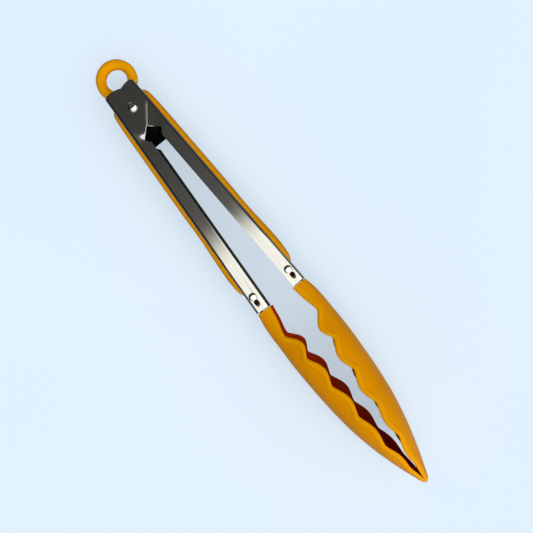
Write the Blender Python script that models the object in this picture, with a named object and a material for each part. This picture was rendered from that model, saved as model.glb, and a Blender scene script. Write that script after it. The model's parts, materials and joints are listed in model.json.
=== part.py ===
"""Spring loaded kitchen tongs, lying on their side, modelled as separate parts.

Two folded sheet-steel arms turn on one rivet. A torsion spring on the rivet pushes them apart, and a
slotted lock strip with a ring on its tail slides between them. Each arm carries a soft grip on its back
and a silicone jaw moulded over a nylon tongue, which a rivet holds in the end of the channel.

All lengths are in millimetres until a mesh is made. The working frame has the hinge axis as Z, the jaws
towards +X and arm B on the +Y side; the hinge empty then puts the whole on its floor, centred.
"""

import math

import bmesh
import bpy
from mathutils import Matrix, Vector

MM = 0.001
GAP = 0.3  # between pieces that touch
PAST = 2.0  # how far a cutter runs beyond what it cuts
HAIR = 0.02  # keeps two joined bodies' faces out of one plane

# Overall plan
TIP_X = 266.8
HEEL_X = -13.2
ARM_SPLAY = math.radians(2.75)  # each arm's angle to the centreline with the tips closed

# Sheet-steel channel of one arm. u runs along the arm from the hinge axis, v outwards from the axis
SHEET = 0.8
BEND_R = 1.7
BACK_V = 10.3  # outer face of the channel's back
LIP_V = 2.5  # free edge of the flanges
FLANGE_Z = 9.3  # outer face of the flanges
JOGGLE = 0.55  # arm A's flanges step out, and arm B's in, to nest round the hinge
JOGGLE_U = 16.6  # middle of the step at the notch's root
JOGGLE_LEAN = 0.45  # the step leans this much along u for each millimetre of v
JOGGLE_LENGTH = 5.6
ARM_END_U = 133.4
NOTCH_ROOT_U, NOTCH_ROOT_V = 18.6, 5.1  # deepest corner of the lock notch
NOTCH_MOUTH_U = 21.9
NOTCH_SLOPE = 1.02  # the notch edge as far as its apex on the centreline, v per u
NOTCH_APEX_U = 13.3
FAR_SLOPE = 0.69  # the same edge beyond the apex, across the other arm
FAR_V = {"a": -8.2, "b": -6.5}  # how far each flange reaches past the hinge
FAR_CORNER_R = 13.0
NEAR_CORNER_R = 1.5
BACK_START_U = -5.0  # the back is cut away behind this
REST_FACE_U = (60.0, 100.0)  # one flat face of the flange, on which the tongs rest

# Hinge
PIN_R = 2.0
PIN_HEAD_R = 2.9
PIN_HEAD_H = 1.3
SPACER_R = 4.0
BUSH_R = 3.6

# Torsion spring
WIRE_R = 0.65
COIL_R = 4.6
COIL_PITCH = 1.45
COIL_TURNS = 3.5
COIL_START_Z = 1.65
LEG_START_U = 1.4
SPRING_LEG = ((LEG_START_U, COIL_R), (8.0, 5.4), (22.0, 7.1), (33.0, 8.4), (37.0, 8.5))

# Grip pad on the back of each arm
GRIP_START_U, GRIP_END_U = -6.0, 121.0
GRIP_THICKNESS = ((-6.0, 0.8), (-5.4, 1.6), (-3.5, 2.2), (8.0, 2.7), (60.0, 2.7), (80.0, 2.4), (96.0, 2.9),
                  (107.0, 3.1), (116.0, 2.4), (121.0, 1.0))
GRIP_HALF_Z = 7.9
GRIP_END_TAPER = 9.0
GRIP_END_SHARE = 0.45  # of the pad's full height that is left at its very end
GRIP_CROWN_POWER = 0.6  # below 1 squares off the pad's crown
STUD_U = (45.0, 80.0, 110.0)
STUD_R = 2.5
STUD_HEAD_R = 3.8
STUD_HEAD_H = 1.2
STUD_TOP_V = BACK_V + 1.2  # inside the pad

# Jaw: outlines along X of one jaw, with the tips closed
JAW_START_X = 133.6
JAW_BACK = ((133.6, 16.75), (142.0, 18.4), (155.0, 19.5), (168.0, 19.8), (190.0, 19.0), (212.0, 17.0),
            (232.0, 13.1), (250.0, 7.9), (261.0, 4.0), (265.4, 2.2), (266.8, 1.1))
JAW_HALF_DEPTH = ((133.6, 9.3), (142.0, 10.4), (151.0, 12.6), (161.0, 15.2), (172.0, 17.4), (185.0, 19.2),
                  (198.0, 20.4), (212.0, 21.1), (222.0, 21.2), (233.0, 20.0), (243.0, 17.0), (252.0, 12.9),
                  (259.0, 8.4), (264.0, 4.6), (266.8, 1.6))
RIM_VALLEYS = ((133.6, 8.9), (142.0, 10.2), (151.7, 12.4), (168.5, 10.1), (188.4, 8.4), (209.7, 7.0),
               (231.0, 5.5), (251.0, 2.7), (260.0, 1.1), (266.8, 0.2))
SCALLOP_ENDS = (151.7, 168.5, 188.4, 209.7, 231.0, 251.0)
SCALLOP_RISE = (4.7, 3.5, 3.2, 2.4, 1.9)
SCALLOP_SHARPNESS = 1.3
RIM_RESERVE = ((133.6, 0.3), (145.0, 2.5), (160.0, 5.0), (178.0, 3.9), (200.0, 3.5), (221.0, 2.7), (241.0, 2.1),
               (255.0, 1.3), (266.8, 0.15))
SQUARENESS = ((133.6, 6.0), (146.0, 3.2), (160.0, 2.4), (266.8, 2.1))
JAW_WALL = 2.0
JAW_BACK_WALL = 3.3
SLIM_SHARE = 0.42  # most that a wall may take of the jaw's breadth
JAW_FILL_X = 137.5  # the jaw is solid up to here
FILL_INSET = 1.0

# Nylon tongue of the jaw
TONGUE_START_X, TONGUE_END_X = JAW_START_X - 1.6, 226.0
TONGUE_SLOT_START_X = JAW_START_X - 1.0
TONGUE_DEPTH = ((130.0, 1.7), (145.0, 1.05), (226.0, 1.05))  # below the jaw's outer face
TONGUE_THICK = 1.2
TONGUE_HALF_Z = 6.4
TONGUE_DEPTH_SHARE = 0.62  # most that the tongue may take of the jaw's half depth
BLOCK_START_U = 117.5
BLOCK_V = (3.7, BACK_V - SHEET - GAP)
BLOCK_HALF_Z = FLANGE_Z - SHEET - GAP

# Jaw rivet and the tooling hole next to it
RIVET_U = 124.3
RIVET_V = 6.5
RIVET_R = 1.3
RIVET_HEAD_R = 2.3
RIVET_HEAD_H = 0.9
TOOLING_HOLE_U = 127.9
TOOLING_HOLE_R = 1.45
TOOLING_POCKET = 7.0

# Lock: slotted strip, head, ring. It lies a little askew between the arms
LOCK_YAW = math.radians(-4.4)
LOCK_TRAVEL = 8.0
STRIP_HALF_T = 0.6
STRIP_HALF_WIDTH = ((-13.0, 2.6), (-8.0, 4.5), (11.4, 4.5), (13.0, 2.4))
STRIP_END_X, STRIP_END_HALF_WIDTH = 18.2, 2.4
SLOT_HALF_WIDTH = PIN_R + GAP
HEAD_X = (14.4, 19.2)
HEAD_HALF_Z = 7.6
HEAD_STEM_HALF_Y = 3.9
HEAD_FOOT_HALF_Y = 7.2
HEAD_FOOT_TOP_Z = -0.9
HEAD_PIN_X = 16.8
HEAD_PIN_R = 1.0
HEAD_PIN_HALF_Z = HEAD_HALF_Z - 0.2
RING_X = -21.6
RING_R = 9.1
RING_TUBE_R = 3.0
EYE_HALF_WIDTH = 1.5

HALF_DEPTH = max(z for _, z in JAW_HALF_DEPTH)
RING_END_X = RING_X * math.cos(LOCK_YAW) - RING_R - RING_TUBE_R
HINGE = (-(TIP_X + RING_END_X) / 2, 0.0, HALF_DEPTH)


# ---------------------------------------------------------------- curves and meshes


def through(points, x):
    """The height at x of a smooth curve through the points, level beyond its ends."""
    if x <= points[0][0]:
        return points[0][1]
    if x >= points[-1][0]:
        return points[-1][1]
    i = max(k for k, p in enumerate(points) if p[0] <= x)
    (x0, y0), (x1, y1) = points[i], points[i + 1]

    def slope(k):
        if k in (0, len(points) - 1):
            return (y1 - y0) / (x1 - x0)
        (xa, ya), (xm, ym), (xb, yb) = points[k - 1], points[k], points[k + 1]
        before, after = (ym - ya) / (xm - xa), (yb - ym) / (xb - xm)
        if before * after <= 0:
            return 0.0
        return 2 * before * after / (before + after)

    span = x1 - x0
    t = (x - x0) / span
    return ((1 + 2 * t) * (1 - t) ** 2 * y0 + t * (1 - t) ** 2 * span * slope(i)
            + t * t * (3 - 2 * t) * y1 + t * t * (t - 1) * span * slope(i + 1))


def ease(t):
    t = min(max(t, 0.0), 1.0)
    return t * t * (3 - 2 * t)


def spaced(start, end, count):
    return [start + (end - start) * i / (count - 1) for i in range(count)]


def loft(rings):
    """A closed body through rings of as many points each, flat at both ends."""
    bm = bmesh.new()
    loops = [[bm.verts.new(p) for p in ring] for ring in rings]
    count = len(loops[0])
    for a, b in zip(loops, loops[1:]):
        for i in range(count):
            j = (i + 1) % count
            bm.faces.new((a[i], a[j], b[j], b[i]))
    bm.faces.new(loops[0])
    bm.faces.new(loops[-1])
    bmesh.ops.recalc_face_normals(bm, faces=bm.faces)
    return bm


def lathe(profile, segments=16):
    """A body of revolution about Z from (radius, z) pairs; a radius of 0 closes an end."""
    bm = bmesh.new()
    loops = []
    for r, z in profile:
        if r == 0:
            loops.append([bm.verts.new((0, 0, z))])
            continue
        turn = [2 * math.pi * k / segments for k in range(segments)]
        loops.append([bm.verts.new((r * math.cos(t), r * math.sin(t), z)) for t in turn])
    pairs = list(zip(loops, loops[1:]))
    if profile[0][0] > 0:
        pairs.append((loops[-1], loops[0]))
    for a, b in pairs:
        for i in range(segments):
            j = (i + 1) % segments
            corners = [a[i % len(a)], a[j % len(a)], b[j % len(b)], b[i % len(b)]]
            bm.faces.new(list(dict.fromkeys(corners)))
    bmesh.ops.recalc_face_normals(bm, faces=bm.faces)
    return bm


def sweep(path, radius, sides=6):
    """A round bar along a path, with flat ends."""
    path = [Vector(p) for p in path]
    normal = Vector((0, 0, 1))
    rings = []
    for i, centre in enumerate(path):
        along = (path[min(i + 1, len(path) - 1)] - path[max(i - 1, 0)]).normalized()
        across = along.cross(normal).normalized()
        up = across.cross(along)
        turn = [2 * math.pi * k / sides for k in range(sides)]
        rings.append([centre + radius * (math.cos(t) * across + math.sin(t) * up) for t in turn])
    return loft(rings)


def prism(outline, low_z, high_z):
    """An (x, y) outline raised from low_z to high_z."""
    return loft([[(x, y, z) for x, y in outline] for z in (low_z, high_z)])


def block(low, high):
    (x0, y0, z0), (x1, y1, z1) = low, high
    return prism(((x0, y0), (x1, y0), (x1, y1), (x0, y1)), z0, z1)


def joined(*meshes):
    """Separate bodies in one mesh."""
    bm = bmesh.new()
    for part in meshes:
        mesh = bpy.data.meshes.new("part")
        part.to_mesh(mesh)
        part.free()
        bm.from_mesh(mesh)
        bpy.data.meshes.remove(mesh)
    return bm


def moved(bm, matrix):
    bmesh.ops.transform(bm, matrix=matrix, verts=bm.verts)
    if matrix.determinant() < 0:
        bmesh.ops.reverse_faces(bm, faces=bm.faces)
    return bm


# ---------------------------------------------------------------- objects


def material(name, colour, roughness, metallic=0.0):
    made = bpy.data.materials.new(name)
    made.use_nodes = True
    shader = made.node_tree.nodes["Principled BSDF"]
    shader.inputs["Base Color"].default_value = (*colour, 1.0)
    shader.inputs["Roughness"].default_value = roughness
    shader.inputs["Metallic"].default_value = metallic
    return made


def add(name, bm, parent, look, sharp_angle=math.radians(35)):
    """One named part, from a mesh in millimetres in its parent's frame."""
    moved(bm, Matrix.Scale(MM, 4))
    mesh = bpy.data.meshes.new(name)
    bm.to_mesh(mesh)
    bm.free()
    mesh.shade_smooth()
    mesh.set_sharp_from_angle(angle=sharp_angle)
    mesh.materials.append(look)
    obj = bpy.data.objects.new(name, mesh)
    bpy.context.scene.collection.objects.link(obj)
    obj.parent = parent
    return obj


def combine(obj, bm, operation):
    """Cuts a tool from a part, or joins it on, with a Boolean in the part's own frame."""
    tool = add(f"{obj.name}_{operation.lower()}_{len(obj.modifiers)}", bm, obj.parent, obj.data.materials[0])
    tool.hide_render = True
    tool.display_type = "WIRE"
    modifier = obj.modifiers.new(tool.name, "BOOLEAN")
    modifier.operation = operation
    modifier.solver = "EXACT"
    modifier.object = tool


def axis_empty(name, location, parent=None):
    empty = bpy.data.objects.new(name, None)
    bpy.context.scene.collection.objects.link(empty)
    empty.location = [c * MM for c in location]
    empty.parent = parent
    return empty


# ---------------------------------------------------------------- one arm


def arm_frame(side):
    """From an arm's own u, v, z to the working frame: arm A is the mirror image of arm B."""
    turn = Matrix.Rotation(ARM_SPLAY, 4, "Z")
    return turn if side == "b" else Matrix.Scale(-1, 4, Vector((0, 1, 0))) @ turn


def notch_line(u):
    """v of the notch's edge, which bends at its apex."""
    before_apex = NOTCH_SLOPE * (NOTCH_ROOT_U - max(u, NOTCH_APEX_U))
    return NOTCH_ROOT_V - before_apex - FAR_SLOPE * max(NOTCH_APEX_U - u, 0.0)


def flange_edge(u, side):
    """v of the flange's free edge at u: past the hinge, along the lock notch, then straight."""
    if u >= NOTCH_MOUTH_U:
        return LIP_V
    if u >= NOTCH_ROOT_U:
        part = (u - NOTCH_ROOT_U) / (NOTCH_MOUTH_U - NOTCH_ROOT_U)
        return NOTCH_ROOT_V + part * (LIP_V - NOTCH_ROOT_V)
    far = FAR_V[side]
    crossing = notch_line(u)
    into_corner = max(HEEL_X + FAR_CORNER_R - u, 0.0)
    rounded = far + FAR_CORNER_R - math.sqrt(max(FAR_CORNER_R**2 - into_corner**2, 0.0))
    return max(crossing, rounded)


def joggle_at(u, v):
    """How far the flanges have stepped at (u, v), from 0 on the straight arm to 1 round the hinge."""
    step_u = JOGGLE_U - JOGGLE_LEAN * (v - NOTCH_ROOT_V)
    return 1 - ease((u - step_u) / JOGGLE_LENGTH + 0.5)


def channel_ring(u, side):
    step = JOGGLE if side == "a" else -JOGGLE
    near = max(HEEL_X + NEAR_CORNER_R - u, 0.0)
    back = BACK_V - NEAR_CORNER_R + math.sqrt(max(NEAR_CORNER_R**2 - near**2, 0.0))
    edge = flange_edge(u, side)
    bend_v = back - BEND_R

    def half(inset):
        """Lower half of the outer skin (inset 0) or the inner one (inset SHEET), from lip to back."""
        radius = BEND_R - inset
        points = [(v, -(FLANGE_Z - inset)) for v in spaced(edge, bend_v, 3)]
        for k in range(1, 4):
            t = math.pi / 2 * k / 3
            points.append((bend_v + radius * math.sin(t), -(FLANGE_Z - BEND_R + radius * math.cos(t))))
        return [(v, z - step * joggle_at(u, v)) for v, z in points]

    outer = half(0.0)
    inner = half(SHEET)
    ring = outer + [(v, -z) for v, z in reversed(outer)] + [(v, -z) for v, z in inner] + list(reversed(inner))
    return [(u, v, z) for v, z in ring]


def channel_stations():
    corner = [HEEL_X + FAR_CORNER_R * (1 - math.cos(t)) for t in spaced(0, math.pi / 2, 7)]
    near = [HEEL_X + NEAR_CORNER_R * (1 - math.cos(t)) for t in spaced(0, math.pi / 2, 4)]
    crossings = [NOTCH_APEX_U + (far - notch_line(NOTCH_APEX_U)) / FAR_SLOPE for far in FAR_V.values()]
    step = spaced(11.5, 21.0, 7)
    straight = [NOTCH_APEX_U, NOTCH_ROOT_U, NOTCH_MOUTH_U, *REST_FACE_U, ARM_END_U]
    found = sorted(set(corner + near + crossings + step + straight))
    return [u for u, after in zip(found, found[1:] + [1e9]) if after - u > 0.05]


def drill(u, v, radius, low_z, high_z):
    return moved(lathe(((0, low_z), (radius, low_z), (radius, high_z), (0, high_z))),
                 Matrix.Translation((u, v, 0)))


def drill_back(u, radius, low_v, high_v):
    """A round tool through the channel's back at u, along v."""
    turned = lathe(((0, low_v), (radius, low_v), (radius, high_v), (0, high_v)))
    return moved(turned, Matrix.Translation((u, 0, 0)) @ Matrix.Rotation(-math.pi / 2, 4, "X"))


def build_channel(side, hinge, steel):
    frame = arm_frame(side)
    body = loft([channel_ring(u, side) for u in channel_stations()])
    arm = add(f"arm_{side}_channel", moved(body, frame), hinge, steel)
    reach = FLANGE_Z + PAST
    flat = FLANGE_Z - BEND_R
    tools = joined(
        drill(0, 0, PIN_R + GAP, -reach, reach),
        drill(RIVET_U, RIVET_V, RIVET_R + GAP, -reach, reach),
        drill(TOOLING_HOLE_U, RIVET_V, TOOLING_HOLE_R, -reach, reach),
        block((HEEL_X - PAST, BACK_V - BEND_R - NEAR_CORNER_R, -flat), (BACK_START_U, BACK_V + PAST, flat)),
        *(drill_back(u, STUD_R + GAP, BACK_V - SHEET - PAST, BACK_V + PAST) for u in STUD_U),
    )
    combine(arm, moved(tools, frame), "DIFFERENCE")


def grip_ring(u):
    """Section of the pad: flat on the steel, crowned outside, rounded off towards both ends."""
    inside = BACK_V + GAP
    crown = through(GRIP_THICKNESS, u) - GAP
    near_end = min(u - GRIP_START_U, GRIP_END_U - u) / GRIP_END_TAPER
    rounded = math.sqrt(1 - (1 - min(near_end, 1.0)) ** 2)
    half = GRIP_HALF_Z * (GRIP_END_SHARE + (1 - GRIP_END_SHARE) * rounded)
    turn = spaced(-math.pi / 2, math.pi / 2, 9)
    return [(u, inside + crown * max(math.cos(t), 0.0) ** GRIP_CROWN_POWER, half * math.sin(t)) for t in turn]


def build_grip(side, hinge, rubber):
    frame = arm_frame(side)
    taper = [GRIP_END_TAPER * (1 - math.cos(t)) for t in spaced(0, math.pi / 2, 5)]
    ends = [GRIP_START_U + d for d in taper] + [GRIP_END_U - d for d in taper]
    stations = sorted(ends + spaced(12.0, 100.0, 9))
    pad = add(f"grip_{side}", moved(loft([grip_ring(u) for u in stations]), frame), hinge, rubber)
    head_v = BACK_V - SHEET - GAP
    profile = ((0, head_v - STUD_HEAD_H), (STUD_HEAD_R, head_v - STUD_HEAD_H), (STUD_HEAD_R, head_v),
               (STUD_R, head_v), (STUD_R, STUD_TOP_V), (0, STUD_TOP_V))
    upright = Matrix.Rotation(-math.pi / 2, 4, "X")
    studs = joined(*(moved(lathe(profile, 16), Matrix.Translation((u, 0, 0)) @ upright) for u in STUD_U))
    combine(pad, moved(studs, frame), "UNION")


# ---------------------------------------------------------------- one jaw


def rim_edge(x):
    """y of the jaw's scalloped rim."""
    edge = through(RIM_VALLEYS, x)
    for start, end, rise in zip(SCALLOP_ENDS, SCALLOP_ENDS[1:], SCALLOP_RISE):
        if start < x < end:
            edge -= rise * math.sin(math.pi * (x - start) / (end - start)) ** SCALLOP_SHARPNESS
    return edge


def jaw_curve(x, depth_back, depth_rim, turns, rim=None):
    """Points (y, z) of the jaw's section, set in by depth_back at its back and depth_rim at its rims.

    The section is a flattened half-oval, cut off where it meets the scalloped rim.
    """
    middle = through(RIM_VALLEYS, x) - through(RIM_RESERVE, x)
    wide = through(JAW_BACK, x) - middle
    deep = through(JAW_HALF_DEPTH, x)
    power = 2 / through(SQUARENESS, x)
    rim = rim_edge(x) if rim is None else rim
    last = math.acos(min(max((rim - middle) / wide, 0.0), 1.0) ** (1 / power))
    points = []
    for turn in turns:
        t = turn * last
        y = middle + (wide - depth_back) * math.cos(t) ** power
        z = (deep - depth_rim) * math.copysign(abs(math.sin(t)) ** power, t)
        points.append((y, z))
    return points


def jaw_wall(x):
    """Wall thickness at the back and at the rims, thinner where the jaw narrows to its tip."""
    wide = through(JAW_BACK, x) - through(RIM_VALLEYS, x)
    slim = SLIM_SHARE * min(wide, through(JAW_HALF_DEPTH, x))
    return min(JAW_BACK_WALL, slim), min(JAW_WALL, slim)


def jaw_ring(x):
    turns = spaced(-1, 1, 13)
    outer = jaw_curve(x, 0, 0, turns)
    inner = jaw_curve(x, *jaw_wall(x), turns)
    return [(x, y, z) for y, z in outer + list(reversed(inner))]


def filler_ring(x):
    outer = jaw_curve(x, FILL_INSET, FILL_INSET, spaced(-1, 1, 9), rim_edge(x) + FILL_INSET)
    return [(x, y, z) for y, z in outer]


def tongue_ring(x, grow):
    """Section of the nylon tongue, which follows the jaw's back inside its wall."""
    top = through(TONGUE_DEPTH, x) - grow
    bottom = top + TONGUE_THICK + 2 * grow
    half = min(TONGUE_HALF_Z, TONGUE_DEPTH_SHARE * through(JAW_HALF_DEPTH, x)) + grow
    middle = through(RIM_VALLEYS, x) - through(RIM_RESERVE, x)
    wide = through(JAW_BACK, x) - middle
    deep = through(JAW_HALF_DEPTH, x)
    square = through(SQUARENESS, x)

    def face(depth):
        heights = spaced(-half, half, 5)
        return [(middle + (wide - depth) * (1 - abs(z / deep) ** square) ** (1 / square), z) for z in heights]

    return [(x, y, z) for y, z in face(top) + list(reversed(face(bottom)))]


def tongue(start, grow):
    return loft([tongue_ring(x, grow) for x in spaced(start, TONGUE_END_X + grow, 9)])


def mirror_for(side):
    return Matrix.Identity(4) if side == "b" else Matrix.Scale(-1, 4, Vector((0, 1, 0)))


def build_jaw(side, hinge, silicone, nylon):
    mirror = mirror_for(side)
    frame = arm_frame(side)
    waves = [x for a, b in zip(SCALLOP_ENDS, SCALLOP_ENDS[1:]) for x in spaced(a, b, 7)[:-1]]
    tip = [SCALLOP_ENDS[-1], 255.0, 260.0, 264.0, 266.0, TIP_X]
    stations = spaced(JAW_START_X, SCALLOP_ENDS[0], 6)[:-1] + waves + tip
    shell = add(f"jaw_{side}_shell", moved(loft([jaw_ring(x) for x in stations]), mirror), hinge, silicone)
    fill = loft([filler_ring(x) for x in (JAW_START_X + HAIR, JAW_FILL_X)])
    combine(shell, moved(fill, mirror), "UNION")
    combine(shell, moved(tongue(TONGUE_SLOT_START_X, GAP), mirror), "DIFFERENCE")

    low_v, high_v = BLOCK_V
    root = block((BLOCK_START_U, low_v, -BLOCK_HALF_Z), (ARM_END_U - GAP, high_v, BLOCK_HALF_Z))
    core = add(f"jaw_{side}_core", moved(root, frame), hinge, nylon)
    combine(core, moved(tongue(TONGUE_START_X, 0), mirror), "UNION")
    reach = BLOCK_HALF_Z + PAST
    holes = joined(
        drill(RIVET_U, RIVET_V, RIVET_R + GAP, -reach, reach),
        drill(TOOLING_HOLE_U, RIVET_V, TOOLING_HOLE_R, BLOCK_HALF_Z - TOOLING_POCKET, reach),
        drill(TOOLING_HOLE_U, RIVET_V, TOOLING_HOLE_R, -reach, TOOLING_POCKET - BLOCK_HALF_Z),
    )
    combine(core, moved(holes, frame), "DIFFERENCE")


def rivet_profile(shank_r, head_r, head_h, seat_z):
    """A rivet with a domed head at each end, its heads seated at +-seat_z."""
    dome = [(head_r * math.cos(t), seat_z + head_h * math.sin(t)) for t in spaced(0, math.pi / 2, 5)]
    dome[-1] = (0, seat_z + head_h)
    top = [(shank_r, seat_z)] + dome
    return [(r, -z) for r, z in reversed(top)] + top


def build_jaw_rivet(side, hinge, bright):
    seat = FLANGE_Z + GAP
    rivet = lathe(rivet_profile(RIVET_R, RIVET_HEAD_R, RIVET_HEAD_H, seat))
    moved(rivet, arm_frame(side) @ Matrix.Translation((RIVET_U, RIVET_V, 0)))
    add(f"jaw_{side}_rivet", rivet, hinge, bright)


# ---------------------------------------------------------------- hinge and spring


def build_hinge(hinge, bright, steel, black):
    seat = FLANGE_Z + JOGGLE + GAP
    add("pivot_pin", lathe(rivet_profile(PIN_R, PIN_HEAD_R, PIN_HEAD_H, seat)), hinge, bright)
    low = -(FLANGE_Z - JOGGLE - SHEET - GAP)
    high = -STRIP_HALF_T - GAP
    hole = PIN_R + GAP
    tube = lathe(((hole, low), (SPACER_R, low), (SPACER_R, high), (hole, high)))
    add("pivot_spacer", tube, hinge, steel)
    bush = lathe(((hole, -high), (BUSH_R, -high), (BUSH_R, -low), (hole, -low)))
    add("spring_bush", bush, hinge, black)


def leg_z(side):
    return COIL_START_Z + (COIL_PITCH * COIL_TURNS if side == "b" else 0.0)


def build_coil(hinge, spring_steel):
    """The coil winds clockwise upwards from arm A's leg to arm B's, stopping short of both."""
    clear = LEG_START_U / COIL_R  # the legs swing over this much of the coil as the arms open
    total = 2 * math.pi * COIL_TURNS
    path = []
    for wound in spaced(clear, total - clear, 57):
        t = -math.pi / 2 - wound
        path.append((COIL_R * math.cos(t), COIL_R * math.sin(t), COIL_START_Z + COIL_PITCH * wound / (2 * math.pi)))
    add("spring_coil", sweep(path, WIRE_R), hinge, spring_steel, math.radians(60))


def build_leg(side, hinge, spring_steel):
    stations = spaced(SPRING_LEG[0][0], SPRING_LEG[-1][0], 10)
    path = [(u, through(SPRING_LEG, u), leg_z(side)) for u in stations]
    leg = moved(sweep(path, WIRE_R), arm_frame(side))
    add(f"spring_leg_{side}", leg, hinge, spring_steel, math.radians(60))


# ---------------------------------------------------------------- lock


def stadium(x0, x1, half):
    """An outline with round ends, from x0 to x1 between the centres of its ends."""
    right = [(x1 + half * math.cos(t), half * math.sin(t)) for t in spaced(-math.pi / 2, math.pi / 2, 13)]
    left = [(x0 - half * math.cos(t), -half * math.sin(t)) for t in spaced(-math.pi / 2, math.pi / 2, 13)]
    return right + left


def eye(grow):
    """The flat eye at the strip's tail, round which the ring is moulded."""
    low, high = RING_R - EYE_HALF_WIDTH - grow, RING_R + EYE_HALF_WIDTH + grow
    half = STRIP_HALF_T + grow
    flat = lathe(((low, -half), (high, -half), (high, half), (low, half)), 28)
    return moved(flat, Matrix.Translation((RING_X, 0, 0)))


def strip_plate(grow):
    halves = [(x, y + grow) for x, y in STRIP_HALF_WIDTH]
    halves.append((STRIP_END_X + grow, STRIP_END_HALF_WIDTH + grow))
    outline = halves + [(x, -y) for x, y in reversed(halves)]
    return prism(outline, -STRIP_HALF_T - grow, STRIP_HALF_T + grow)


def build_lock(slider, steel, black, rubber, bright):
    strip = add("lock_strip", strip_plate(0), slider, steel)
    combine(strip, eye(0), "UNION")
    slot = prism(stadium(0, LOCK_TRAVEL, SLOT_HALF_WIDTH), -PAST, PAST)
    combine(strip, joined(slot, drill(HEAD_PIN_X, 0, HEAD_PIN_R + GAP, -PAST, PAST)), "DIFFERENCE")

    low_x, high_x = HEAD_X
    foot, stem, top, step = HEAD_FOOT_HALF_Y, HEAD_STEM_HALF_Y, HEAD_HALF_Z, HEAD_FOOT_TOP_Z
    section = ((-foot, -top), (foot, -top), (foot, step), (stem, step), (stem, top), (-stem, top), (-stem, step),
               (-foot, step))
    body = loft([[(x, y, z) for y, z in section] for x in (low_x, high_x)])
    head = add("lock_head", moved(body, Matrix.Rotation(-LOCK_YAW, 4, "Z")), slider, black)
    combine(head, strip_plate(GAP), "DIFFERENCE")
    combine(head, drill(HEAD_PIN_X, 0, HEAD_PIN_R + GAP, -top - PAST, top + PAST), "DIFFERENCE")
    end = HEAD_PIN_HALF_Z
    pin = lathe(((0, -end), (HEAD_PIN_R, -end), (HEAD_PIN_R, end), (0, end)))
    add("lock_head_pin", moved(pin, Matrix.Translation((HEAD_PIN_X, 0, 0))), slider, bright)

    tube = [(RING_R + RING_TUBE_R * math.cos(t), RING_TUBE_R * math.sin(t)) for t in spaced(0, 2 * math.pi, 13)[:-1]]
    ring = add("pull_ring", moved(lathe(tube, 36), Matrix.Translation((RING_X, 0, 0))), slider, rubber)
    combine(ring, eye(GAP), "DIFFERENCE")
    combine(ring, strip_plate(GAP), "DIFFERENCE")


# ---------------------------------------------------------------- assembly


def clear_scene():
    for obj in list(bpy.data.objects):
        bpy.data.objects.remove(obj, do_unlink=True)


def main():
    clear_scene()
    steel = material("brushed_steel", (0.55, 0.55, 0.53), 0.32, 1.0)
    bright = material("bright_steel", (0.75, 0.75, 0.73), 0.12, 1.0)
    spring_steel = material("spring_steel", (0.35, 0.35, 0.34), 0.3, 1.0)
    silicone = material("orange_silicone", (0.83, 0.36, 0.01), 0.45)
    nylon = material("orange_nylon", (0.7, 0.28, 0.02), 0.5)
    black = material("black_nylon", (0.01, 0.01, 0.01), 0.5)

    hinge = axis_empty("hinge_axis", HINGE)
    build_hinge(hinge, bright, steel, black)
    build_coil(hinge, spring_steel)
    for side in "ab":
        arm_hinge = axis_empty(f"arm_{side}_axis", (0, 0, 0), hinge)
        build_channel(side, arm_hinge, steel)
        build_grip(side, arm_hinge, silicone)
        build_jaw(side, arm_hinge, silicone, nylon)
        build_jaw_rivet(side, arm_hinge, bright)
        build_leg(side, arm_hinge, spring_steel)

    slider = axis_empty("lock_axis", (0, 0, 0), hinge)
    slider.rotation_euler = (0, 0, LOCK_YAW)
    build_lock(slider, steel, black, silicone, bright)


main()
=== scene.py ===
"""The looks of the spring loaded kitchen tongs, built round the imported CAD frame.

Lengths are in millimetres in a working frame whose Z axis is the hinge pin, with the jaws towards +X and
arm B towards +Y. Meshes are turned into metres in the row's frame when they are made.
"""

import json
import math

import bmesh
import bpy
import numpy as np
from mathutils import Euler, Matrix, Vector


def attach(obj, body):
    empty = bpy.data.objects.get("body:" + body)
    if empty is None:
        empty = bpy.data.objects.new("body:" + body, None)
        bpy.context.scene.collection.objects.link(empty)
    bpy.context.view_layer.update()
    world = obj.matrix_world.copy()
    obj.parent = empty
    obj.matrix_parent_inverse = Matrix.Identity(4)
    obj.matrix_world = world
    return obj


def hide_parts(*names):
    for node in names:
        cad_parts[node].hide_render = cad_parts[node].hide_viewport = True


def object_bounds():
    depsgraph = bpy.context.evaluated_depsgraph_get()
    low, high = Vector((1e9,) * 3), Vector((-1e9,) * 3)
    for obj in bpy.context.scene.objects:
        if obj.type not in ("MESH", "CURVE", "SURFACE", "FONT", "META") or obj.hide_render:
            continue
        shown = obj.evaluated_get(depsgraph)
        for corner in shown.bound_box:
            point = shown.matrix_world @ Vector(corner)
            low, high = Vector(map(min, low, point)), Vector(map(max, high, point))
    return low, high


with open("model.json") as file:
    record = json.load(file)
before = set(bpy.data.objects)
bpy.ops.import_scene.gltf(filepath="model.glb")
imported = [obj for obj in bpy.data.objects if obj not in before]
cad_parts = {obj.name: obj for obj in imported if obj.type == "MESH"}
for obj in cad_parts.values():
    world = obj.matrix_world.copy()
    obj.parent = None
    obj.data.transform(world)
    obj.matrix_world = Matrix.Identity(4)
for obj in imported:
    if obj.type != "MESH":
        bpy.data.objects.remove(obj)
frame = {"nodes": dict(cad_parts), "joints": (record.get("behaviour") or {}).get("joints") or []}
CAD_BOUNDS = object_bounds()

MM = 0.001
JOINTS = {joint["name"]: joint for joint in frame["joints"]}
HINGE = Vector(JOINTS["arm_b_hinge"]["pos_m"])
LOCK_OUT = Vector(JOINTS["lock_slide"]["axis"])
TO_ROW = Matrix.Translation(HINGE) @ Matrix.Scale(MM, 4)
MIRROR_Y = Matrix.Scale(-1, 4, Vector((0, 1, 0)))

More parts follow.
